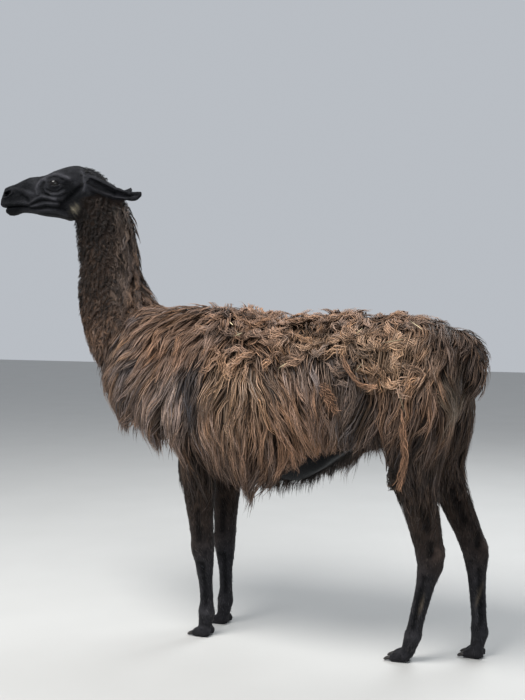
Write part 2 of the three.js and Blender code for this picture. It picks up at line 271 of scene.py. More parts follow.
def near_muzzle(co):
    h = head_frame(co)
    return (h[:, 0] > 0.225) & (h[:, 2] < 1.50) & (np.abs(h[:, 1]) < 0.1)


def in_feet(co):
    return co[:, 2] < 0.05


solids = joined_solids()
set_points(solids, swollen(points_of(solids)))
body = remeshed(solids)
set_points(body, shrunk(points_of(body)))
body = refined(body, [(near_muzzle, 1), (in_feet, 1), (near_eyes(0.038), 1), (near_eyes(0.026), 1)])

outer = points_of(body)
tri = triangles_of(body)
web = Web(read(body.edges, "vertices", 2), len(outer))

# ------------------------------------------------------------------ which part each point is of


def part_masks(points):
    """For each node of flesh, how much each point belongs to it, softened across the joins."""
    corners, faces, owners = [], [], []
    for index, name in enumerate(FLESH):
        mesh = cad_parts[name].data
        faces.append(triangles_of(mesh) + sum(len(c) for c in corners))
        corners.append(points_of(mesh))
        owners += [index] * len(faces[-1])
    tree = BVHTree.FromPolygons(np.concatenate(corners).tolist(), np.concatenate(faces).tolist())
    owners = np.array(owners)
    nearest = np.array([tree.find_nearest(p)[2] for p in points.tolist()])
    sharp = np.eye(len(FLESH))[owners[nearest]]
    return dict(zip(FLESH, web.smooth(sharp, 12).T))


mask = part_masks(outer)
ear_mask = mask["ear_left"] + mask["ear_right"]
head_mask = mask["head"] + ear_mask
leg_mask = sum(mask[n] for n in LEGS)
hind_mask = mask["leg_hind_left"] + mask["leg_hind_right"]
front_mask = leg_mask - hind_mask

h = head_frame(outer)
fine = (np.abs(h[:, 1]) < 0.2) & (h[:, 0] > -0.3) & (outer[:, 2] > 1.3)
head_rounds = np.where(fine, 1.0, 0.35) * (1 - 0.55 * np.clip(ear_mask * 2, 0, 1))
outer = web.smooth(outer, 36, head_rounds[:, None], back=0.53)
outer[:, 2] = np.maximum(outer[:, 2], 0.0)

# ------------------------------------------------------------------ the head's own detail


def stroke(flat, line, height, width):
    """A ridge along a line of points in mm, or with a negative height a groove, in metres."""
    nearest = np.full(len(flat), 1e9)
    for a, b in zip(line[:-1], line[1:]):
        a, b = np.array(a, float), np.array(b, float)
        t = np.clip(((flat - a) @ (b - a)) / ((b - a) @ (b - a)), 0, 1)
        nearest = np.minimum(nearest, np.linalg.norm(flat - a - t[:, None] * (b - a), axis=1))
    return height * MM * bell(nearest / width)


# Ridges and grooves on each side of the face: points as (forward, up), height, width, in mm.
FACE_LINES = [
    ([(186, 1526), (172, 1537), (152, 1542), (126, 1536), (100, 1525)], 5.5, 7),  # brow
    ([(176, 1527), (160, 1533), (138, 1531), (122, 1522)], -2.5, 3),  # crease over the eye
    ([(198, 1524), (209, 1507), (214, 1490), (210, 1474)], 4.5, 5),  # fold in front of the eye
    ([(190, 1514), (197, 1498), (190, 1480), (172, 1470)], -3.5, 5),
    ([(180, 1491), (162, 1482), (142, 1482), (124, 1492)], -2.2, 3),  # creases under the eye
    ([(184, 1482), (162, 1473), (138, 1473), (116, 1484)], 2.0, 3.5),
    ([(182, 1474), (160, 1465), (134, 1465), (110, 1475)], -1.8, 3.5),
    ([(236, 1443), (216, 1457), (197, 1467), (172, 1463), (148, 1455)], 3.2, 5),  # cheek folds
    ([(238, 1438), (214, 1448), (190, 1454), (160, 1449), (130, 1446)], -2.8, 4),
    ([(236, 1432), (212, 1437), (180, 1444), (142, 1441)], 2.8, 4.5),
    ([(234, 1427), (205, 1427), (178, 1431), (146, 1428), (116, 1422)], -2.5, 4),
    ([(228, 1418), (200, 1419), (170, 1420), (140, 1415), (110, 1404)], 2.5, 5),
    ([(62, 1497), (84, 1475), (105, 1455), (128, 1436)], -5.5, 8),  # behind the jaw
    ([(262, 1470), (246, 1460), (238, 1446)], -3.0, 5),
    ([(296, 1494), (270, 1490), (244, 1482), (226, 1474)], 2.8, 7),
    ([(58, 1552), (50, 1530), (48, 1508), (54, 1488)], 4.5, 7),  # rim in front of the ear
]
FACE_DENTS = [  # (forward, up), depth, radius in mm
    ((88, 1468), -4.0, 20),  # hollow behind the cheek
    ((108, 1504), -3.5, 16),
    ((246, 1504), -2.5, 18),
    ((150, 1458), 2.5, 22),  # cheek
]
LIP_LINE = [(341, 1427), (318, 1428), (290, 1431), (262, 1433), (240, 1432), (230, 1428)]
MOUTH_CORNER = 0.22  # the mouth is cut in front of this

# The legs seen from the side: height and width in mm, and points as (y, z) on the left leg and on
# the right one.
LEG_LINES = {
    "leg_hind": [
        # groove between cannon bone and tendon
        (-5, 5.5, [(646, 275), (626, 200), (606, 110)], [(778, 275), (783, 200), (786, 110)]),
        (1.5, 6, [(632, 290), (609, 200), (588, 110)], [(757, 290), (762, 200), (768, 110)]),
        (-5, 9, [(662, 430), (655, 500)], [(730, 430), (700, 510)]),  # before the Achilles tendon
        (-4, 7, [(672, 385), (668, 350)], [(768, 385), (772, 350)]),
        (5, 14, [(694, 360), (694, 342)], [(796, 360), (796, 342)]),  # point of the hock
        (2.5, 12, [(634, 340), (640, 315)], [(728, 340), (738, 315)]),
        (2.5, 12, [(575, 88), (620, 80)], [(755, 88), (800, 80)]),  # fetlock
    ],
    "leg_front": [
        (-4.5, 5, [(-93, 250), (-92, 180), (-90, 110)], [(-97, 245), (-95, 180), (-92, 110)]),
        (4, 12, [(-140, 305), (-138, 275)], [(-144, 297), (-142, 268)]),  # knee
        (-2.5, 6, [(-135, 255), (-105, 250)], [(-138, 248), (-108, 243)]),
        (-4, 8, [(-100, 330), (-96, 430)], [(-104, 325), (-100, 430)]),
        (2.5, 11, [(-120, 85), (-75, 80)], [(-122, 85), (-77, 80)]),
    ],
}
NOSTRIL_TILT = math.radians(-35)
NOSTRIL_HALF = (0.0125, 0.0056)


def relief(points, along):
    """How far each point is raised along its normal by the folds of the face and the legs."""
    h = head_frame(points)
    face = h[:, [0, 2]] / MM
    sideways = smoothstep(np.abs(head_frame(points + along)[:, 1] - h[:, 1]), 0.25, 0.7)
    lift = np.zeros(len(points))
    for line, height, width in FACE_LINES:
        lift += sideways * stroke(face, line, height, width)
    for (forward, up), depth, radius in FACE_DENTS:
        away = np.hypot(face[:, 0] - forward, face[:, 1] - up)
        lift += sideways * depth * MM * bell(away / radius)
    lift += stroke(face, LIP_LINE, -5.0, 2.4) * smoothstep(h[:, 0], MOUTH_CORNER, 0.26)
    lift += stroke(face, [(x, z + 12) for x, z in LIP_LINE[:-1]], 3.2, 8)  # upper lip
    lift += stroke(face, [(x - 8, z - 11) for x, z in LIP_LINE[:-1]], 2.0, 7)  # lower lip
    split = bell(h[:, 1] / MM / 2.6)  # the upper lip is split in the middle
    lift -= 3.4 * MM * split * smoothstep(h[:, 0], 0.318, 0.33) * smoothstep(h[:, 2], 1.428, 1.436)
    ahead, above = h[:, 0] - NOSTRIL[0], h[:, 2] - NOSTRIL[2]
    c, s = math.cos(NOSTRIL_TILT), math.sin(NOSTRIL_TILT)
    away = np.hypot((ahead * c + above * s) / NOSTRIL_HALF[0], (above * c - ahead * s) / NOSTRIL_HALF[1])
    near = sideways * (h[:, 0] > 0.28)
    lift += near * 3.0 * MM * bell((away - 1.7) / 0.5)
    lift -= near * 9.0 * MM * (1 - smoothstep(away, 0.25, 1.25))
    lift *= np.clip(mask["head"] * 1.6, 0, 1)
    side = points[:, [1, 2]] / MM
    flank = smoothstep(np.abs(along[:, 0]), 0.3, 0.8)
    for kind, lines in LEG_LINES.items():
        for number, side_name in enumerate(SIDES):
            share = np.clip(mask[f"{kind}_{side_name}"] * 1.5, 0, 1)
            for height, width, *sides in lines:
                lift += share * (flank if height < 0 else 1) * stroke(side, sides[number], height, width)
    return lift


def levelled(points):
    """Smooths out what the solids cut for the mouth, nostrils and ears, before finer cuts."""
    h = head_frame(points)
    lips = stroke(h[:, [0, 2]] / MM, LIP_LINE[:-1], 1000, 7) * (h[:, 0] > MOUTH_CORNER)
    holes = bell(np.hypot(h[:, 0] - NOSTRIL[0], h[:, 2] - NOSTRIL[2]) / 0.016)
    front = 1 - smoothstep(np.abs(h[:, 1]), 0.09, 0.12)
    share = np.clip(1.5 * np.maximum(lips, holes), 0, 1) * front * np.clip(mask["head"], 0, 1)
    slit = bell((h[:, 0] - 0.025) / 0.045, (h[:, 2] - 1.515) / 0.028)
    share = np.maximum(share, np.clip(1.2 * slit, 0, 1) * (np.abs(h[:, 1]) > 0.03))
    return web.smooth(points, 30, share[:, None])


OPENING = np.array([0.017, 0.0088, 0.008])  # half length, and height above and below the middle
LID_TILT = math.radians(-9)


def lid_edge(d, side):
    """How far, in mm, points are outside an eye's opening, from their offsets from its middle."""
    r = np.linalg.norm(d, axis=1)
    outward = np.array([0.22, side * 0.97, 0.08])
    near = (r < 0.05) & ((d @ outward) > 0)
    c, s = math.cos(LID_TILT), math.sin(LID_TILT)
    along = d[:, 0] * c - d[:, 2] * s
    up = d[:, 0] * s + d[:, 2] * c
    arch = np.clip(1 - (along / OPENING[0]) ** 2, -3, 1)
    height = np.where(up > 0, OPENING[1], OPENING[2])
    return (np.abs(up) - height * arch) / MM, up, near


def lidded(points):
    """Draws the skin round each eye into lids, and sinks it behind the eyeball in the opening."""
    h = head_frame(points)
    for side in SIDES.values():
        middle = EYE * (1, side, 1)
        d = h - middle
        edge, _, near = lid_edge(d, side)
        lid = 2.8 - 0.9 * smoothstep(edge, 1.5, 5) - 0.9 * bell((edge - 6.5) / 1.5)
        lid += 1.5 * bell((edge - 10) / 2.5)
        reach = np.where(edge > 0, EYE_RADIUS + lid * MM, EYE_RADIUS - 4.5 * MM)
        keep = smoothstep(edge, 9, 17) * (edge > 0)
        target = middle + unit(d) * reach[:, None]
        share = (near * (1 - keep))[:, None]
        h = h * (1 - share) + target * share
    back = world_turn(h) + NECK_TOP
    return np.where(np.clip(mask["head"], 0, 1)[:, None] > 0.3, back, points)


# Lines of painted light that only colour the ears: points as (forward, up), strength, width.
EAR_LIGHT_LINES = [
    ([(42, 1514), (14, 1499), (-12, 1490), (-50, 1481)], -2.4, 5),  # painted shade in the slit
    # painted highlight on the band under the slit
    ([(30, 1490), (0, 1477), (-40, 1467), (-80, 1465)], 1.2, 6),
    ([(58, 1552), (50, 1530), (48, 1508), (52, 1484)], 1.2, 7),  # painted highlight on the rim in front of the ear
]


# Painted shade and highlight on the outer sides of the ears, as an amount of fold.
def ear_painted_light(points):
    h = head_frame(points)
    shade = sum(stroke(h[:, [0, 2]] / MM, *line) for line in EAR_LIGHT_LINES)
    return shade * (np.abs(h[:, 1]) > 0.035) * (1 - smoothstep(points[:, 2], 1.56, 1.58))


def lid_highlight_and_shade(points):
    """A painted highlight on the wet edge of each lower lid and painted shade along each upper lid, as an
    amount of fold that only colours them.
    """
    light = np.zeros(len(points))
    for side in SIDES.values():
        edge, up, near = lid_edge(head_frame(points) - EYE * (1, side, 1), side)
        light += near * (up < 0.001) * 0.014 * bell((edge - 1.0) / 1.1)
        light -= near * (up > 0.001) * 0.0012 * bell((edge - 0.8) / 1.5)
    return light


FEET = [(0.075, -0.078), (-0.075, -0.081), (0.061, 0.594), (-0.061, 0.796)]  # middle x, heel y


def cleft(points):
    """Parts the two toes of each foot with a groove over the top and front."""
    points = points.copy()
    for foot_x, heel_y in FEET:
        ahead = smoothstep(heel_y - points[:, 1], 0.02, 0.045)
        here = (np.abs(points[:, 0] - foot_x) < 0.04) & (np.abs(points[:, 1] - heel_y) < 0.09)
        groove = bell((points[:, 0] - foot_x) / 0.0035) * ahead * (points[:, 2] < 0.06)
        points[:, 2] -= np.where(here & (points[:, 2] > 0.004), 0.010 * groove, 0)
    return points


outer = levelled(outer)
ear_tip = smoothstep(-head_frame(outer)[:, 0], 0.080, 0.120) * np.clip(1.5 * ear_mask, 0, 1)
outer[:, 2] += 0.006 * ear_tip * unit(web.smooth(normals_of(outer, tri), 2))[:, 2]
normal = unit(web.smooth(normals_of(outer, tri), 2))
fold = relief(outer, normal)
outer = cleft(lidded(outer + normal * fold[:, None]))
outer[:, 2] = np.maximum(outer[:, 2], 0.0)
# from here the folds only colour the coat: the lids and ears add painted highlight and shade
fold += lid_highlight_and_shade(outer) + ear_painted_light(outer)
fold = np.where((fold > 0) & (leg_mask > 0.5), 0.4 * fold, fold)  # painted highlights on knees and hocks are weakened, so these stay dark
normal = unit(web.smooth(normals_of(outer, tri), 1))

# ------------------------------------------------------------------ the skin under the coat

x, y, z = outer.T
smooth_normal = unit(web.smooth(normal, 8))
forward, aside, up = head_frame(outer).T
ear_root = bell((forward - 0.025) / 0.045, (np.abs(aside) - 0.062) / 0.035, (up - 1.505) / 0.038)
behind_ears = smoothstep(0.075 - forward, 0.0, 0.03) * (1 - np.clip(ear_mask * 3, 0, 1))
nape_wool = mask["head"] * behind_ears * (1 - np.clip(1.6 * ear_root, 0, 1))
back_of_neck = smoothstep(smooth_normal[:, 1], 0.2, 0.9) * mask["neck"]


HEM = ((0.15, 0.18, 0.27, 0.33, 0.49, 0.57), (0, 0.53, 0.615, 0.672, 0.682, 0.60))


def hem_level(points):
    """Below this the flank is bare: the near hem rises behind the lowest of the belly."""
    level = np.interp(points[:, 1], *HEM)
    return level * (points[:, 0] > 0.04) * (points[:, 1] > 0.15) * (points[:, 1] < 0.57)


# the bare belly below the near hem, which the markings darken as painted shade
belly = mask["trunk"] * smoothstep(hem_level(outer) - z, 0.0, 0.02)


def coat_depth():
    """How thick the coat is at each point, in metres. It is thin along the top of the rump."""
    thigh = 0.0012 + 0.022 * smoothstep(z, 0.42, 0.66)
    forearm = 0.0012 + 0.012 * smoothstep(z, 0.44, 0.60)
    depth = mask["trunk"] * 0.036 + mask["neck"] * 0.012 + back_of_neck * 0.010
    depth += mask["tail"] * 0.030 + hind_mask * thigh + front_mask * forearm
    depth += head_mask * 0.0012 + nape_wool * 0.007
    depth *= 1 - 0.65 * smoothstep(smooth_normal[:, 2], 0.45, 0.85) * smoothstep(y, 0.52, 0.66)
    return web.smooth(depth[:, None], 10)[:, 0]


# The trunk under its wool, along y: the level of its axis and of its belly, and its half width.
AXIS_LEVEL = ((-0.53, -0.32, 0.0, 0.25, 0.5, 0.78), (0.884, 0.825, 0.78, 0.785, 0.842, 0.88))
BELLY_LEVEL = ((-0.45, -0.3, 0.0, 0.2, 0.4, 0.6), (0.70, 0.625, 0.545, 0.525, 0.555, 0.70))
FLANK = ((-0.45, -0.3, 0.0, 0.3, 0.5, 0.7), (0.13, 0.175, 0.215, 0.222, 0.195, 0.14))


def skin_of(outer, depth):
    inner = outer - smooth_normal * depth[:, None]
    level = np.interp(inner[:, 1], *AXIS_LEVEL)
    deep = level - np.interp(inner[:, 1], *BELLY_LEVEL)
    wide = np.interp(inner[:, 1], *FLANK)
    dx, dz = inner[:, 0], inner[:, 2] - level
    reach = np.hypot(dx / wide, np.minimum(dz, 0) / deep)
    shrink = np.where(dz < 0, 1 / np.maximum(reach, 1), 1)
    share = web.smooth(np.clip(mask["trunk"], 0, 1)[:, None], 4)[:, 0] * smoothstep(-dz, 0.0, 0.15)
    factor = 1 + (shrink - 1) * share
    inner[:, 0] = dx * factor
    inner[:, 2] = level + dz * factor
    rough = web.smooth(inner, 12)
    soft = np.clip(mask["trunk"] + mask["neck"] + mask["tail"] - leg_mask * 2, 0, 1)[:, None]
    return inner + (rough - inner) * soft


depth = coat_depth()
skin = skin_of(outer, depth)
skin[:, 2] = np.maximum(skin[:, 2], 0.0)

# ------------------------------------------------------------------ the lie of the coat


# How far the hair leans back for each length it falls, along the trunk: (y, lean).
UPPER_SWEEP = ((-0.5, -0.3, -0.08, 0.15, 0.5, 0.70), (-0.5, -0.9, -0.25, 0.35, 0.30, -0.1))
LOWER_SWEEP = ((-0.5, -0.25, 0.0, 0.2, 0.45, 0.58, 0.70), (-0.55, -0.40, 0.0, 0.25, 0.1, -0.05, -0.45))
HEM_SWEEP = ((-0.3, 0.0, 0.15, 0.45, 0.6), (-0.3, 0.0, -0.45, -0.75, 0.0))


def lie():
    """Which way the hair runs at each point of the outer shape, along the surface."""
    side = np.tanh(x / 0.04)
    none = 0 * x
    high = smoothstep(z, 0.78, 0.98)
    low = 1 - smoothstep(z, 0.50, 0.70)
    sweep = np.interp(y, *LOWER_SWEEP) * (1 - low) + np.interp(y, *HEM_SWEEP) * low
    sweep = np.interp(y, *UPPER_SWEEP) * high + sweep * (1 - high)
    dip = 0.30 - 0.75 * smoothstep(1.52 - up, 0.0, 0.09)
    face = world_turn(np.stack([none - 1, 0.1 * np.tanh(aside / 0.02), dip], 1))
    runs = [
        (mask["trunk"], (side * (0.25 + 0.6 * high), sweep, none - 1)),
        (mask["neck"], (side * (0.10 + 0.45 * back_of_neck), none + 0.12, none - 1)),
        (mask["head"], (*face.T[:2], face[:, 2] - 1.6 * nape_wool)),
        (ear_mask, world_turn(np.stack([none - 1, none, none - 0.35], 1)).T),
        (leg_mask, (none, 0.12 - 0.45 * hind_mask * smoothstep(z, 0.50, 0.65), none - 1)),
        (mask["tail"], (side * 0.3, none + 0.15, none - 1)),
    ]
    flow = web.smooth(sum(share[:, None] * np.stack(run, 1) for share, run in runs), 6)
    flow -= normal * (flow * normal).sum(1)[:, None]
    return unit(flow)


flow = lie()

# ------------------------------------------------------------------ markings and painted light, shared by skin and coat

BLACK = np.array([0.0145, 0.0145, 0.0165])
DARK = np.array([0.022, 0.0150, 0.0115])
BROWN = np.array([0.150, 0.089, 0.058])
RUSSET = np.array([0.190, 0.106, 0.064])
GOLDEN = np.array([0.275, 0.175, 0.108])
GREY = np.array([0.150, 0.116, 0.099])
DUSTY = np.array([0.132, 0.096, 0.077])
SLATE = np.array([0.045, 0.042, 0.044])
TAN = np.array([0.21, 0.17, 0.125])
PALE = np.array([0.40, 0.35, 0.25])

broad = waves(11, 0.30)
patchy = waves(12, 0.11)
streaky = waves(13, 0.045)

# Patches of another colour on each side of the trunk, one of them painted shadow: middle (y, z), half
# sizes, colour, share.
PATCHES = [
    ((-0.36, 0.84), (0.10, 0.16), GREY * 0.9, 0.65),  # chest
    ((-0.18, 0.76), (0.10, 0.13), GREY * 1.75, 0.65),
    ((-0.075, 0.78), (0.036, 0.13), SLATE, 0.95),  # dark band behind the shoulder
    ((-0.05, 0.99), (0.05, 0.05), GREY * 0.8, 0.60),
    ((-0.20, 0.94), (0.12, 0.07), RUSSET * 1.15, 0.50),
    ((0.04, 0.80), (0.06, 0.12), GOLDEN * 1.3, 0.68),
    ((0.16, 0.80), (0.07, 0.10), GOLDEN * 1.2, 0.60),
    ((0.27, 0.70), (0.07, 0.09), RUSSET, 0.45),
    ((0.30, 0.88), (0.12, 0.035), GREY, 0.60),  # smooth grey flank under the matted back
    ((0.08, 0.97), (0.20, 0.06), RUSSET * 0.9, 0.45),
    ((0.34, 0.98), (0.16, 0.06), GOLDEN * 0.8, 0.40),
    ((0.56, 0.93), (0.11, 0.09), GOLDEN * 0.95, 0.75),
    ((0.45, 0.77), (0.075, 0.14), GREY * 0.50, 0.85),  # dark flank before the thigh
    ((0.60, 0.62), (0.15, 0.11), DARK * 1.3, 0.85),
    ((0.735, 0.82), (0.018, 0.09), TAN * 0.75, 0.60),  # pale rear edge of the haunch
    ((0.767, 0.81), (0.014, 0.13), DARK * 0.8, 0.80),  # painted shadow in the crease between haunch and tail
]


# Painted shade in creases and painted highlight on ridges, from the height of each fold: (height in
# metres, factor).
FOLD_PAINTED_LIGHT = ((-0.0016, 0, 0.0038, 0.012), (0.35, 1, 2.6, 6.0))
JOINTS = ((-0.15, 0.29), (-0.15, 0.36), (0.69, 0.34), (0.79, 0.34), (0.62, 0.42))  # knees and hocks
GLANDS = {1: (0.633, 0.187), -1: (0.780, 0.200)}  # pale patches on the hind legs, by side


def layered(colour, layers):
    """A colour with each (shade, share) of the layers laid over it in turn."""
    for shade, share in layers:
        colour = colour + (shade - colour) * np.clip(share, 0, 1)[:, None]
    return colour


def trunk_layers(points, drift, patch, streak):
    """Russet and grey streaks, the patches, and the dark thighs and rump, with painted shade reaching
    higher up the far thigh.
    """
    x, y, z = points.T
    yield RUSSET, 0.25 * patch + 0.30 * streak
    yield GREY, 0.40 * streak - 0.18 + 0.25 * smoothstep(y, 0.25, 0.0) * (z < 0.95)
    ragged = 1 + 0.35 * patch
    for (middle_y, middle_z), (half_y, half_z), shade, share in PATCHES:
        yield shade, bell((y - middle_y) / half_y, (z - middle_z) / half_z) * share * ragged * 1.2
    # the far thigh (x < 0) is darkened higher up as painted shade under the body; the rest is its own
    # dark colour
    thigh = smoothstep(y, 0.48, 0.60) * (0.08 + 0.14 * (x < 0))
    yield DARK * 1.6, 0.75 * (1 - smoothstep(z - thigh, 0.47, 0.68 + 0.02 * drift))
    yield DARK * 2.0, 0.70 * smoothstep(y - 0.45 * (0.9 - z), 0.66, 0.74)


def neck_layers(points, patch, streak):
    """The dark neck, darkest under the head, and its dusty mane."""
    _, y, z = points.T
    neck = smoothstep(z + 0.03 * patch, 0.94, 1.17) * (1 - smoothstep(y, -0.42, -0.34))
    yield DARK * 1.25, neck * (0.94 - 0.06 * patch)
    yield DARK * 0.6, 0.8 * neck * smoothstep(z, 1.24, 1.38)
    mane = smoothstep(y, -0.465, -0.420) * smoothstep(z, 1.05, 1.15) * (1 - smoothstep(z, 1.46, 1.50))
    yield DUSTY, neck * mane * (0.62 + 0.25 * streak)


def leg_layers(points):
    """Legs that darken downwards, with paler knees and hocks."""
    _, y, z = points.T
    yield DARK * 1.3, 0.35 * (1 - smoothstep(z, 0.50, 0.60))
    yield DARK, 0.8 * (1 - smoothstep(z - 0.11 * bell((y + 0.08) / 0.10), 0.42, 0.56))
    yield BLACK * 1.35, 0.9 * (1 - smoothstep(z, 0.20, 0.46))
    for joint_y, joint_z in JOINTS:
        yield DARK * 1.4, 0.5 * bell((y - joint_y) / 0.03, (z - joint_z) / 0.05)


def detail_layers(points, patch, ears, shaded_bare_belly):
    """The black face and ears, painted shade on the far fringe under the belly, the black bare belly
    darkened further as painted shade, and the pale spots.
    """
    x, y, z = points.T
    forward, _, up = head_frame(points).T
    rear_edge = 0.045 - 0.085 * smoothstep(z, 1.455, 1.49)
    high = smoothstep(z, 1.37, 1.41)
    yield BLACK, np.maximum(high * smoothstep(forward + 0.006 * patch - rear_edge, 0, 0.04), ears)
    # painted shade on the coat under the belly, near the middle and on the far side
    shade_under_belly = smoothstep(y, 0.13, 0.22) * (1 - smoothstep(y, 0.52, 0.58)) * (x > -0.15) * (x < 0.05)
    yield DARK * 0.8, 0.9 * shade_under_belly * (1 - smoothstep(z, 0.60, 0.66))
    # the bare belly's short hair is black; the rest of its darkness is painted shade
    yield BLACK * 0.15, shaded_bare_belly
    yield BLACK * 0.9, smoothstep(z, 1.50, 1.535) * smoothstep(forward, -0.06, 0.02)
    slant = 7 * (0.9 * forward - 0.45 * up)
    slanted = streaky(np.stack([slant, up, 0 * slant], 1))
    yield PALE, bell((forward - 0.084) / 0.013, (up - 1.424) / 0.018) * (0.30 + 0.35 * slanted)
    for side, (gland_y, gland_z) in GLANDS.items():
        lean = (y - gland_y) - 0.25 * (z - gland_z)
        yield TAN * 0.75, 0.85 * bell(lean / 0.005, (z - gland_z) / 0.028) * (x * side > 0)
    yield BLACK * 0.22, 0.9 * smoothstep(forward, 0.22, 0.29) * high


def markings(points, ears, shaded_bare_belly, folds_for_painted_light):
    """The colour of the coat at points of the outer shape, as the roots and the skin share it, with
    painted shade in the creases and painted highlight on the ridges of its folds.
    """
    patch = patchy(points)
    streak = streaky(points * (1, 1, 0.25))
    colour = layered(np.tile(BROWN, (len(points), 1)), trunk_layers(points, broad(points), patch, streak))
    colour = layered(colour, neck_layers(points, patch, streak))
    colour = layered(colour, leg_layers(points))
    colour = layered(colour, detail_layers(points, patch, ears, shaded_bare_belly))
    # painted shade in creases and painted highlight on ridges
    return colour * np.interp(folds_for_painted_light, *FOLD_PAINTED_LIGHT)[:, None]


# ------------------------------------------------------------------ materials


def new_material(name, roughness, specular=0.5):
    material = bpy.data.materials.new(name)
    material.use_nodes = True
    tree = material.node_tree
    shader = tree.nodes["Principled BSDF"]
    shader.inputs["Roughness"].default_value = roughness
    shader.inputs["Specular IOR Level"].default_value = specular
    return material, tree, shader


def add(tree, kind, **values):
    node = tree.nodes.new(kind)
    for key, value in values.items():
        if key in node.inputs:
            node.inputs[key].default_value = value
        else:
            setattr(node, key, value)
    return node


def attribute(tree, name, output):
    return add(tree, "ShaderNodeAttribute", attribute_name=name).outputs[output]


def place_of(tree):
    return add(tree, "ShaderNodeTexCoord").outputs["Object"]


def noise_at(tree, place, scale, detail, roughness=0.5):
    node = add(tree, "ShaderNodeTexNoise", Scale=scale, Detail=detail, Roughness=roughness)
    tree.links.new(place, node.inputs["Vector"])
    return node.outputs["Fac"]


def mixed(tree, blend_type, factor, a, b):
    node = add(tree, "ShaderNodeMix", data_type="RGBA", blend_type=blend_type)
    for socket, value in ((node.inputs[0], factor), (node.inputs[6], a), (node.inputs[7], b)):
        if isinstance(value, bpy.types.NodeSocket):
            tree.links.new(value, socket)
        else:
            socket.default_value = value
    return node.outputs[2]


def ramp(tree, source, stops):
    node = tree.nodes.new("ShaderNodeValToRGB")
    elements = node.color_ramp.elements
    elements[0].position, elements[1].position = stops[0][0], stops[-1][0]
    elements[0].color, elements[1].color = grey(stops[0][1]), grey(stops[-1][1])
    for place, value in stops[1:-1]:
        elements.new(place).color = grey(value)
    tree.links.new(source, node.inputs[0])
    return node.outputs[0]


def grey(value):
    return (value, value, value, 1)


def paint(tree, shader, colour, *factors):
    """Gives a shader its colour, darkened or lightened by each factor in turn."""
    for factor in factors:
        colour = mixed(tree, "MULTIPLY", 1.0, colour, factor)
    tree.links.new(colour, shader.inputs["Base Color"])


def emboss(tree, shader, height, strength, distance):
    bump = add(tree, "ShaderNodeBump", Strength=strength, Distance=distance)
    tree.links.new(height, bump.inputs["Height"])
    tree.links.new(bump.outputs["Normal"], shader.inputs["Normal"])


def coat_material(name, roughness, root=0.22, tip=1.6, specular=0.25):
    """Wool or hair: painted shade at the root, where the locks cover each other, and lighter to the tip,
    with fine streaks along each lock.
    """
    material, tree, shader = new_material(name, roughness, specular)
    shade = ramp(tree, attribute(tree, "along", "Fac"), [(0, root), (0.45, 0.80), (1, tip)])
    noise = noise_at(tree, attribute(tree, "lock_place", "Vector"), 1.0, 3.0, 0.65)
    streaks = ramp(tree, noise, [(0.30, 0.55), (0.5, 1.0), (0.72, 1.65)])
    paint(tree, shader, attribute(tree, "coat_colour", "Color"), shade, streaks)
    return material


def skin_material():
    """Hide with short hair on it: the coat's markings, broken by fine noise drawn along the hair."""
    material, tree, shader = new_material("hide", 0.5, 0.075)
    hair = noise_at(tree, attribute(tree, "hair_place", "Vector"), 1.0, 5.0, 0.72)
    streaks = ramp(tree, hair, [(0.3, 0.45), (0.5, 1.0), (0.7, 2.0)])
    clouds = ramp(tree, noise_at(tree, place_of(tree), 28.0, 3.0), [(0.35, 0.7), (0.65, 1.35)])
    paint(tree, shader, attribute(tree, "coat_colour", "Color"), streaks, clouds)
    emboss(tree, shader, hair, 0.9, 0.0020)
    shader.inputs["Specular Tint"].default_value = (0.80, 0.88, 1.0, 1)
    return material


def mottled(name, low, high, scale, detail, roughness, specular=0.5, bump=None):
    """A material that drifts between two colours, with a bump given as (strength, distance)."""
    material, tree, shader = new_material(name, roughness, specular)
    noise = noise_at(tree, place_of(tree), scale, detail)
    paint(tree, shader, mixed(tree, "MIX", noise, (*low, 1), (*high, 1)))
    if bump:
        emboss(tree, shader, noise, *bump)
    return material


# ------------------------------------------------------------------ the skin


ears_at = np.clip(1.6 * ear_mask - 0.2, 0, 1)
HAIR_SCALE = (240, 45)  # across the hair and along it
HIDE_SHADE = 0.8  # the hide is this much of the coat's colour


def stretched_place(points, along):
    """Coordinates whose noise runs in streaks along the hair."""
    run = (points * along).sum(1)[:, None] * along
    return (points - run) * HAIR_SCALE[0] + run * HAIR_SCALE[1]


def build_skin():
    set_points(body, skin)
    colour = markings(outer, ears_at, belly, fold) * HIDE_SHADE
    set_attribute(body, "coat_colour", "FLOAT_COLOR", np.c_[colour, np.ones(len(outer))])
    set_attribute(body, "hair_place", "FLOAT_VECTOR", stretched_place(skin, flow))
    shade_smooth(body)
    body.materials.clear()
    body.materials.append(skin_material())
    piece = new_object("skin", body)
    bpy.context.view_layer.objects.active = piece
    piece.select_set(True)
    body.uv_layers.new(name="OFBake")
    bpy.ops.object.mode_set(mode="EDIT")
    bpy.ops.mesh.select_all(action="SELECT")
    bpy.ops.uv.smart_project(angle_limit=math.radians(66), island_margin=0.001)
    bpy.ops.object.mode_set(mode="OBJECT")
    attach(piece, "root")
    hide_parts(*FLESH)


build_skin()
face_uv = read(body.uv_layers["OFBake"].data, "uv", 2, np.float32).reshape(-1, 3, 2)
tri = read(body.loops, "vertex_index", 1).reshape(-1, 3)

# ------------------------------------------------------------------ locks of wool

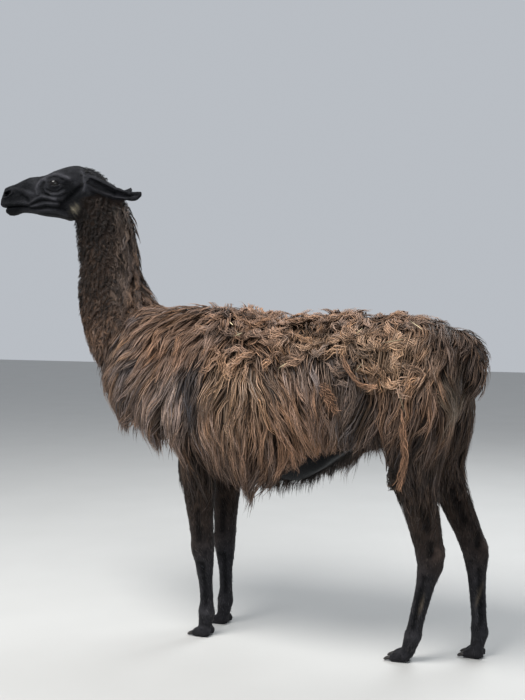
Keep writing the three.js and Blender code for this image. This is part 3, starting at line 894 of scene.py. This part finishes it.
face_area = np.linalg.norm(face_normals(outer, tri), axis=1) / 2
outer_tree = BVHTree.FromPolygons(outer.tolist(), tri.tolist())
GUIDE_POINTS = 14
KNEE_LEVEL = 0.30  # locks hang free only above this
NEVER = 2  # a slope that no surface reaches, for hair that doesn't hang free
FLOOR_GAP = 0.003
TAPER = ((0, 0.25, 0.6, 1), (0.55, 1.0, 0.85, 0.04))  # a lock's width along its length
FLATNESS = 0.6  # a lock's thickness for its width
UV_PATCH = 0.003
MOST = 190_000  # triangles in one piece
SWIRL, SMALL_SWIRL = 0.28, 0.16  # radians by which the lie of the locks wanders
swirl = waves(31, 0.24)
small_swirl = waves(32, 0.075)
lumps = waves(33, 0.085)


class Roots:
    """Random places on the skin, more where the density is higher."""

    def __init__(self, count, density, source):
        weight = face_area * density[tri].mean(1)
        self.face = source.choice(len(tri), count, p=weight / weight.sum())
        a, b = np.sqrt(source.random(count)), source.random(count)
        self.share = np.stack([1 - a, a * (1 - b), a * b], 1)

    def keep(self, chosen):
        self.face, self.share = self.face[chosen], self.share[chosen]

    def of(self, values):
        """Values given at the skin's vertices, or one value for them all, at each root."""
        if np.isscalar(values):
            return np.full(len(self.face), float(values))
        share = self.share if values.ndim == 1 else self.share[:, :, None]
        return (values[tri[self.face]] * share).sum(1)

    def uv(self):
        return (face_uv[self.face] * self.share[:, :, None]).sum(1)


def tree_of(points):
    tree = kdtree.KDTree(len(points))
    for i, p in enumerate(points.tolist()):
        tree.insert(p, i)
    tree.balance()
    return tree


def spaced(roots, gap):
    """Drops roots that lie closer to an earlier one than the gap at that place."""
    points = roots.of(skin)
    tree = tree_of(points)
    alive = np.ones(len(points), bool)
    for i, (p, reach) in enumerate(zip(points.tolist(), roots.of(gap))):
        if alive[i]:
            for _, j, _ in tree.find_range(p, reach):
                if j > i:
                    alive[j] = False
    roots.keep(np.flatnonzero(alive))
    return roots


def corner_shares(point, face):
    """How much of each corner of its face makes up each point."""
    a, b, c = outer[tri[face]].transpose(1, 0, 2)
    n = np.cross(b - a, c - a)
    area = np.maximum((n * n).sum(1), 1e-18)
    u = (np.cross(c - b, point - b) * n).sum(1) / area
    v = (np.cross(a - c, point - c) * n).sum(1) / area
    share = np.clip(np.stack([u, v, 1 - u - v], 1), 0, 1)
    return share / share.sum(1)[:, None]


def guide_paths(roots, length, turn, coil, height, droop, hang):
    """The middle line of each lock: out of the skin, along the lie of the coat, free at a hem."""
    point, face, share = roots.of(outer), roots.face.copy(), roots.share.copy()
    count, last = len(face), GUIDE_POINTS - 1
    paths, ups = np.empty((2, count, GUIDE_POINTS, 3))
    step = length / last
    free = np.zeros(count, bool)
    slack, heading = np.zeros((2, count, 3))
    for k in range(GUIDE_POINTS):
        corners, part = tri[face], share[:, :, None]
        up = unit((normal[corners] * part).sum(1))
        inner = (skin[corners] * part).sum(1)
        level = height * (1 - (1 - k / last) ** 2.2)
        slack = np.where(free[:, None], slack, (inner - point) * (1 - level[:, None]))
        paths[:, k] = point + slack
        ups[:, k] = up
        wanted = (flow[corners] * part).sum(1)
        bend = turn + coil * k / last + SWIRL * swirl(point) + SMALL_SWIRL * small_swirl(point)
        wanted = wanted * np.cos(bend)[:, None] + np.cross(up, wanted) * np.sin(bend)[:, None]
        along = wanted if k == 0 else heading * 0.45 + wanted * 0.55
        heading = unit(np.where(free[:, None], heading * 0.75 + (0, 0, -0.25), along))
        hem = hem_level(point)
        crossing = (point[:, 2] < hem) & (paths[:, 0, 2] > hem)
        leaving = ~free & ((up[:, 2] < -hang) & (point[:, 2] > KNEE_LEVEL) | crossing)
        hanging = np.where(crossing, droop * 0.45, droop)
        step = np.where(leaving, np.minimum(step, hanging / max(last - k, 1)), step)
        free |= leaving
        point = point + heading * step[:, None]
        held = np.flatnonzero(~free)
        hits = [outer_tree.find_nearest(p) for p in point[held].tolist()]
        if hits:
            point[held] = [hit[0][:] for hit in hits]
            face[held] = [hit[2] for hit in hits]
            share[held] = corner_shares(point[held], face[held])
    return paths, ups


def sample(lines, owner, t):
    """Points at t, from 0 to 1, along each owner's line."""
    place = t * (GUIDE_POINTS - 1)
    low = np.clip(place.astype(int), 0, GUIDE_POINTS - 2)
    share = (place - low)[:, :, None]
    return lines[owner[:, None], low] * (1 - share) + lines[owner[:, None], low + 1] * share


def lock_faces(points):
    """One closed lock's faces, as corners and sizes, and each corner's place on its UV patch."""
    corners, sizes, patch = [], [], []
    t = np.linspace(0, 1, points)
    for k in range(points - 1):
        low, high = t[k : k + 2]
        for j in range(3):
            a, b = k * 3 + j, k * 3 + (j + 1) % 3
            if k < points - 2:
                corners += (a, b, b + 3, a + 3)
                patch += [(j, low), (j + 1, low), (j + 1, high), (j, high)]
            else:
                corners += (a, b, k * 3 + 3)
                patch += [(j, low), (j + 1, low), (j + 0.5, high)]
            sizes.append(4 if k < points - 2 else 3)
    corners += (2, 1, 0)
    patch += [(2, -0.1), (1.5, -0.15), (1, -0.1)]
    return np.array(corners), np.array([*sizes, 3]), np.array(patch) / (3, 1) - 0.5


def triangles_in(points):
    return (points - 2) * 6 + 4


def lock_mesh(name, lines, ups, half, colour, root_uv, material, seeds):
    """One joined mesh of closed, pointed, three-sided locks along these lines."""
    count, points, _ = lines.shape
    t = np.linspace(0, 1, points)
    along = unit(np.gradient(lines, axis=1))
    across = unit(np.cross(along, ups))
    out = np.cross(across, along)
    w = (half[:, None] * np.interp(t, *TAPER))[:, :-1, None]
    ring = np.stack([lines[:, :-1] + across[:, :-1] * w,
                     lines[:, :-1] + out[:, :-1] * w * FLATNESS,
                     lines[:, :-1] - across[:, :-1] * w], 2)
    each = (points - 1) * 3 + 1
    co = np.concatenate([ring.reshape(count, -1, 3), lines[:, -1:]], 1)
    corners, sizes, patch = lock_faces(points)
    loops = (corners + np.arange(count)[:, None] * each).ravel()
    sizes = np.tile(sizes, count)
    mesh = bpy.data.meshes.new(name)
    mesh.vertices.add(count * each)
    write(mesh.vertices, "co", co)
    mesh.loops.add(len(loops))
    write(mesh.loops, "vertex_index", loops, np.int32)
    mesh.polygons.add(len(sizes))
    write(mesh.polygons, "loop_start", np.r_[0, np.cumsum(sizes)[:-1]], np.int32)
    shade_smooth(mesh)
    mesh.update(calc_edges=True)
    write(mesh.uv_layers.new(name="OFBake").data, "uv", root_uv[:, None] + patch * UV_PATCH)
    ring_t = np.r_[np.repeat(t[:-1], 3), 1.0]
    ring_side = np.r_[np.tile([0.0, 0.5, 1.0], points - 1), 0.5]
    seed = seeds[:, None] + 0 * ring_t
    place = np.stack([3.2 * ring_side + 20 * seed, 2.0 * ring_t + 0 * seed, 50 * seed], 2)
    rgb = np.repeat(colour, each, 0)
    set_attribute(mesh, "along", "FLOAT", np.tile(ring_t, count))
    set_attribute(mesh, "coat_colour", "FLOAT_COLOR", np.c_[rgb, np.ones(len(rgb))])
    set_attribute(mesh, "lock_place", "FLOAT_VECTOR", place)
    mesh.materials.append(material)
    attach(new_object(name, mesh), "root")


def grow(name, count, density, clump_gap, length, half, points, material, seed,
         clump, wave=0.0, pitch=0.06, curl=0.0, turn=0.12, coil=0.0, height=(0.75, 1.0),
         tone=0.30, strand_tone=0.22, droop=0.025, hang=0.70, lumpy=0.16, gain=1.0):
    """Grows clumped locks. Fields are given at the skin's vertices, or as one value for them all."""
    source = np.random.default_rng(seed)
    centres = spaced(Roots(count, density, source), clump_gap)
    n = len(centres.face)
    reach = centres.of(length) * source.uniform(0.8, 1.15, n)
    lump = lumps(centres.of(outer))
    top = source.uniform(*height, n) * (1 + lumpy * np.clip(lump, -1.5, 0.3))
    fall = centres.of(droop) * source.uniform(0.5, 1.5, n)
    turns, coils = source.normal(0, turn, n), source.normal(0, max(coil, 1e-6), n)
    paths, ups = guide_paths(centres, reach, turns, coils, top, fall, hang)
    # a random tone, with painted shade on clumps in the hollows between lumps and painted highlight on
    # the lumps
    shade = np.exp(source.normal(0, tone, n) + lumpy * np.clip(lump, -1.5, 1))
    hue = source.normal(0, 1, n)

    roots = Roots(count, density, source)
    tree = tree_of(centres.of(skin))
    start = roots.of(skin)
    owner = np.array([tree.find(p)[1] for p in start.tolist()])
    total = len(owner)
    span = source.uniform(0.62, 1.0, total)
    t = np.linspace(0, 1, points)[None] * span[:, None]
    lines = sample(paths, owner, t)
    up = unit(sample(ups, owner, t))
    pull = 1 - clump * np.minimum(t * 1.15, 1) ** 0.8
    lines += (start - paths[owner, 0])[:, None] * pull[:, :, None]
    across = np.cross(unit(np.gradient(lines, axis=1)), up)
    phase = source.uniform(0, 2 * math.pi, n)[owner] + source.normal(0, 0.5, total)
    size = (roots.of(wave) * source.uniform(0.6, 1.3, total))[:, None] * np.minimum(t * 3, 1)
    angle = 2 * math.pi * t * reach[owner][:, None] / pitch + phase[:, None]
    lines += across * (np.sin(angle) * size)[:, :, None]
    lines += up * (np.cos(angle) * size * curl)[:, :, None]
    widths = roots.of(half)
    jitter = source.normal(0, 1, (total, 3)) * 0.7 * widths[:, None]
    lines += jitter[:, None] * np.minimum(t * 2, 1)[:, :, None]
    lines[:, :, 2] = np.maximum(lines[:, :, 2], FLOOR_GAP)

    breadth = source.uniform(0.55, 1.3, total)  # the thinnest get painted highlights and are the palest
    widths = widths * breadth
    highlight_and_tone = (1.05 / breadth) ** 0.7 * np.exp(source.normal(0, strand_tone, total))
    shades = gain * np.minimum(np.minimum(shade[owner], 1.8) * highlight_and_tone, 2.1)
    seen_at = sample(paths, owner, np.full((total, 1), 0.6))[:, 0]
    colour = markings(seen_at, roots.of(ears_at), roots.of(belly), roots.of(fold)) * shades[:, None]
    colour += 0.016 * np.clip(shades - 1, 0, 1.5)[:, None]
    warm = hue[owner] * 0.05 + source.normal(0, 0.04, total)
    colour *= np.stack([1 + warm, 1 + warm * 0.2, 1 - warm], 1)
    colour = np.clip(colour, 0.002, 0.9)
    uvs, seeds = roots.uv(), source.random(total)
    parts = math.ceil(total * triangles_in(points) / MOST)
    for i, chosen in enumerate(np.array_split(np.argsort(start[:, 0]), parts)):
        lock_mesh(f"{name}_{i + 1}" if parts > 1 else name, lines[chosen], up[chosen], widths[chosen],
                  colour[chosen], uvs[chosen], material, seeds[chosen])


# The lower edge of the matted back, as (y, z).
MATTED_EDGE = ((0.06, 0.20, 0.30, 0.44, 0.50, 0.60, 0.72), (0.913, 0.925, 0.955, 0.925, 0.85, 0.84, 0.83))

# Fields over the skin that say where each kind of coat grows.
wool = np.clip(mask["trunk"] * (1 - belly) + mask["tail"] + hind_mask * smoothstep(z, 0.50, 0.62)
               + front_mask * smoothstep(z, 0.54, 0.60), 0, 1)
under = smoothstep(-normal[:, 2], 0.5, 0.85) * mask["trunk"]
above_edge = z - np.interp(y, *MATTED_EDGE) + 0.015 * patchy(outer)
matted = mask["trunk"] * smoothstep(above_edge, 0.0, 0.03) * smoothstep(y, -0.06, 0.03)
matted *= 1 - smoothstep(y + 0.35 * (z - 0.84), 0.66, 0.72)
neck_hair = np.clip(mask["neck"] + nape_wool, 0, 1)
nape = mask["neck"] * smoothstep(smooth_normal[:, 1], 0.35, 0.8) * smoothstep(z, 1.02, 1.10)
nape *= 1 - smoothstep(z, 1.45, 1.49)
low_leg = leg_mask * (1 - smoothstep(z, 0.52, 0.62))
bare = head_mask * (1 - nape_wool)
far_hem = (x < 0.10) & (x > -0.12) & (y > 0.08) & (y < 0.55)
barrel = smoothstep(y, -0.05, 0.05) * smoothstep(0.95 - z, 0, 0.1)
tail_coat = np.clip(2 * mask["tail"], 0, 1)

# Lengths of the coat in each place, and how far it may hang free.
wool_length = 0.215 - 0.08 * smoothstep(z, 0.85, 1.0) - 0.12 * hind_mask * (1 - smoothstep(z, 0.6, 0.8))
wool_length = np.maximum(wool_length - 0.12 * front_mask - 0.05 * mask["tail"], 0.05)
wool_length = wool_length * (1 - 0.55 * under)
neck_length = np.interp(z, (1.0, 1.2), (0.060, 0.020))
leg_length = 0.016 + 0.026 * smoothstep(z, 0.33, 0.50)
droops = 0.065 - 0.04 * tail_coat - 0.03 * np.clip(leg_mask * 2, 0, 1)

fleece = coat_material("fleece", 0.60)
neck_wool = coat_material("neck_wool", 0.60, root=0.35, tip=1.7)
short_hair = coat_material("short_hair", 0.45, root=0.7, tip=1.2, specular=0.2)

grow("under_fleece", 5300, wool * (1 - 0.5 * under), 0.026, wool_length, 0.0042, 5,
     fleece, 20, clump=0.3, wave=0.003, pitch=0.08, height=(0.45, 0.75),
     droop=droops * 0.35, gain=0.58)
under_share = 1 - 0.75 * under * (1 - 0.9 * far_hem)
grow("fleece_locks", 20400, wool * under_share * (1 - 0.9 * matted), 0.018 - 0.009 * tail_coat,
     wool_length, 0.0015, 6, fleece, 21, clump=0.30, wave=0.003 + 0.003 * barrel, pitch=0.12,
     turn=0.17, height=(0.78, 1.03), droop=droops, tone=0.20, strand_tone=0.40, lumpy=0.20)
grow("back_curls", 8800, matted, 0.021, 0.105, 0.0021, 7,
     fleece, 23, clump=0.36, wave=0.008, pitch=0.050, curl=0.6, turn=1.2, coil=1.6,
     height=(0.50, 1.02), lumpy=0.70, gain=0.94, tone=0.38, strand_tone=0.42)
grow("neck_fleece", 12400, neck_hair * (1 - 0.5 * nape), 0.0085, neck_length, 0.0011, 5,
     neck_wool, 24, clump=0.60, wave=0.003, pitch=0.016, curl=0.5, turn=0.7,
     height=(0.5, 0.95), lumpy=0.15, gain=0.60, tone=0.55, strand_tone=0.45)
grow("mane", 2500, nape, 0.015, 0.105, 0.0012, 9,
     fleece, 25, clump=0.62, wave=0.005, pitch=0.042, turn=0.16, height=(0.8, 1.15),
     gain=0.58, tone=0.42, strand_tone=0.40)
grow("leg_hair", 6000, low_leg * (1 + smoothstep(z, 0.33, 0.50)), 0.008, leg_length, 0.0009, 3,
     short_hair, 26, clump=0.3, turn=0.2, height=(0.8, 1.7), hang=NEVER, strand_tone=0.38)
grow("face_hair", 4200, bare, 0.006, 0.009, 0.00035, 3,
     short_hair, 27, clump=0.2, turn=0.15, height=(0.3, 1.0), hang=NEVER)

# Ropes and clumps on the near side: path as (y, z), how far out, radius along the path, how far the
# strands' tips stray, strands, half width of a strand, colour.
ROPES = {
    "dreadlock": (
        [(0.612, 0.810), (0.616, 0.770), (0.619, 0.709), (0.622, 0.665), (0.606, 0.603), (0.582, 0.536)],
        0.018, [0.002, 0.003, 0.005, 0.011, 0.007, 0.002], 0.007, 95, 0.0011, RUSSET * 1.3),
    "matted_rope": (
        [(0.424, 0.959), (0.446, 0.92), (0.459, 0.893), (0.485, 0.865), (0.510, 0.857), (0.545, 0.862)],
        0.014, [0.006, 0.008, 0.008, 0.007, 0.005, 0.002], 0.003, 70, 0.0013, RUSSET * 1.1),
    "russet_clump": (
        [(0.368, 0.870), (0.380, 0.845), (0.395, 0.815), (0.422, 0.774)],
        0.004, [0.008, 0.016, 0.012, 0.002], 0.010, 80, 0.0011, RUSSET * 1.2),
    "thigh_tuft": (
        [(0.575, 0.62), (0.560, 0.58), (0.545, 0.55), (0.530, 0.520)],
        0.002, [0.014, 0.018, 0.018, 0.012], 0.008, 90, 0.0013, DARK * 1.2),
}
STRAWS = [  # both ends, as (y, z)
    ((0.030, 1.045), (0.050, 1.032)), ((0.063, 1.020), (0.085, 0.995)),
    ((0.060, 1.000), (0.090, 1.012)), ((0.600, 1.050), (0.650, 1.020)),
    ((0.535, 0.985), (0.610, 1.000)), ((0.470, 0.900), (0.495, 0.935)),
    ((0.600, 0.850), (0.625, 0.780)), ((0.230, 0.905), (0.260, 0.925)),
    ((0.455, 1.010), (0.475, 1.030)),
]
STRAW = np.array([0.42, 0.35, 0.22])
WINDINGS = 0.8  # turns of a strand along a whole rope


def near_flank(path, out):
    """Points just outside the near side of the coat, and the skin's unwrapped place under each."""
    line, faces = [], []
    for y, z in path:
        spot, _, face, _ = outer_tree.ray_cast((1, y, z), (-1, 0, 0))
        if spot is None:
            spot, _, face, _ = outer_tree.find_nearest((0.2, y, z))
        line.append((spot[0] + out, spot[1], spot[2]))
        faces.append(face)
    return np.array(line), face_uv[faces].mean(1)


def rope(name, path, out, radii, fray, strands, half, shade, seed, points=10):
    """Strands wound loosely along a path over the near side."""
    source = np.random.default_rng(seed)
    knots, place = near_flank(path, out)
    spots = np.linspace(0, 1, len(path))
    begin = source.random(strands) * 0.75 * (fray > 0)
    span = np.minimum(1 - begin, source.uniform(0.25, 0.55, strands) if fray else 1)
    run = np.linspace(0, 1, points)
    t = begin[:, None] + run * span[:, None]
    bow = np.array([np.interp(t + d, spots, knots[:, i]) for d in (-0.08, 0, 0.08) for i in range(3)])
    middle = bow.reshape(3, 3, strands, points).mean(0).transpose(1, 2, 0)
    angle = source.uniform(0, 2 * math.pi, strands)[:, None] + 2 * math.pi * WINDINGS * t
    reach = np.interp(t, spots, radii) * np.sqrt(source.random(strands))[:, None]
    ahead = unit(np.gradient(middle, axis=1))
    outward = np.broadcast_to((1.0, 0.0, 0.0), ahead.shape)
    sideways = unit(np.cross(ahead, outward))
    lines = middle + sideways * (np.cos(angle) * reach)[:, :, None]
    lines += outward * (np.sin(angle) * reach)[:, :, None] * 0.7
    beat = np.sin(2 * math.pi * 6 * t + source.uniform(0, 6, (strands, 1)))
    stray = source.normal(0, fray, (strands, 2)) * (1, 0.6)
    lines += sideways * (0.35 * fray * beat + stray[:, :1] * run**1.5)[:, :, None]
    lines += outward * np.abs(stray[:, 1:] * run**1.5)[:, :, None]
    colour = shade * np.exp(source.normal(0, 0.45, strands))[:, None]
    widths = half * source.uniform(0.7, 1.3, strands)
    lock_mesh(name, lines, outward, widths, colour, place[:1].repeat(strands, 0), fleece,
              source.random(strands))


for number, (rope_name, shape) in enumerate(ROPES.items()):
    rope(rope_name, *shape, 50 + number)
for number, path in enumerate(STRAWS):
    rope(f"straw_{number + 1}", path, 0.012, [0.001, 0.001], 0, 1, 0.0014, STRAW, 60 + number, points=4)

# ------------------------------------------------------------------ eyes and nails


def show_for(node, name, mesh, material):
    """Shows a smooth mesh in place of one node."""
    shade_smooth(mesh)
    mesh.materials.clear()
    mesh.materials.append(material)
    piece = new_object(name, mesh)
    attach(piece, "root")
    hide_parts(node)


def eyeball(side_name, side, material):
    bm = bmesh.new()
    bmesh.ops.create_uvsphere(bm, u_segments=40, v_segments=28, radius=EYE_RADIUS - 0.0002)
    middle = world_turn(EYE[None] * (1, side, 1))[0] + NECK_TOP
    bmesh.ops.translate(bm, verts=bm.verts, vec=Vector(middle))
    name = f"eyeball_{side_name}"
    show_for(f"eye_{side_name}", name, mesh_of(bm, name), material)


def nail(node, material):
    bm = bmesh.new()
    bm.from_mesh(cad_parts[node].data)
    bmesh.ops.remove_doubles(bm, verts=bm.verts, dist=1e-5)
    bmesh.ops.subdivide_edges(bm, edges=bm.edges, cuts=2, smooth=0.6, use_grid_fill=True)
    show_for(node, node.replace("nail", "horn"), mesh_of(bm, node), material)


wet = mottled("eye", (0.0020, 0.0018, 0.0018), (0.007, 0.005, 0.004), 220, 2, 0.07, 0.32)
horn = mottled("horn", (0.008, 0.007, 0.0065), (0.032, 0.027, 0.024), 140, 4, 0.5, bump=(0.2, 0.0006))
for side_name, side in SIDES.items():
    eyeball(side_name, side, wet)
for leg_name in LEGS:
    for toe in ("outer", "inner"):
        nail(leg_name.replace("leg", "nail") + "_" + toe, horn)

# ------------------------------------------------------------------ floor, light and camera


def floor(half):
    mesh = bpy.data.meshes.new("floor")
    corners = [(-half, -half, 0), (half, -half, 0), (half, half, 0), (-half, half, 0)]
    mesh.from_pydata(corners, [], [(0, 1, 2, 3)])
    mesh.materials.append(mottled("floor", (0.44, 0.44, 0.43), (0.48, 0.48, 0.47), 3, 4, 0.8))
    new_object("floor", mesh)


def aimed(name, data, place, ahead):
    """A lamp or camera at a place, looking ahead."""
    piece = new_object(name, data)
    piece.location = place
    piece.rotation_euler = Vector(ahead).to_track_quat("-Z", "Y").to_euler()
    return piece


def lamp(name, place, target, size, power, colour):
    data = bpy.data.lights.new(name, "AREA")
    data.shape = "DISK"
    data.size = size
    data.energy = power
    data.color = colour
    aimed(name, data, place, Vector(target) - Vector(place))


def world_light(colour, strength):
    world = bpy.data.worlds.new("studio")
    world.use_nodes = True
    background = world.node_tree.nodes["Background"]
    background.inputs["Color"].default_value = (*colour, 1)
    background.inputs["Strength"].default_value = strength
    bpy.context.scene.world = world


CAMERA_YAW = math.radians(23)
CAMERA_PITCH = math.radians(2.5)
CAMERA_PLACE = (3.1773, 1.4196, 1.10)
CAMERA_LENS = 54


def camera():
    data = bpy.data.cameras.new("camera")
    data.lens = CAMERA_LENS
    data.sensor_width = 36
    data.clip_end = 60
    ahead = (-math.cos(CAMERA_YAW), -math.sin(CAMERA_YAW), -math.tan(CAMERA_PITCH))
    bpy.context.scene.camera = aimed("camera", data, CAMERA_PLACE, ahead)


floor(14)
lamp("key", (2.2, -0.8, 4.4), (0, 0.1, 0.9), 2.6, 300, (1.0, 0.98, 0.95))
lamp("fill", (4.0, 3.2, 2.2), (0, 0.1, 0.8), 3.0, 50, (0.92, 0.96, 1.0))
lamp("rim", (-2.8, 1.0, 3.4), (0, 0.1, 0.9), 2.0, 90, (0.95, 0.98, 1.0))
world_light((0.88, 0.93, 1.0), 0.55)
camera()
bpy.context.scene.view_settings.view_transform = "Standard"
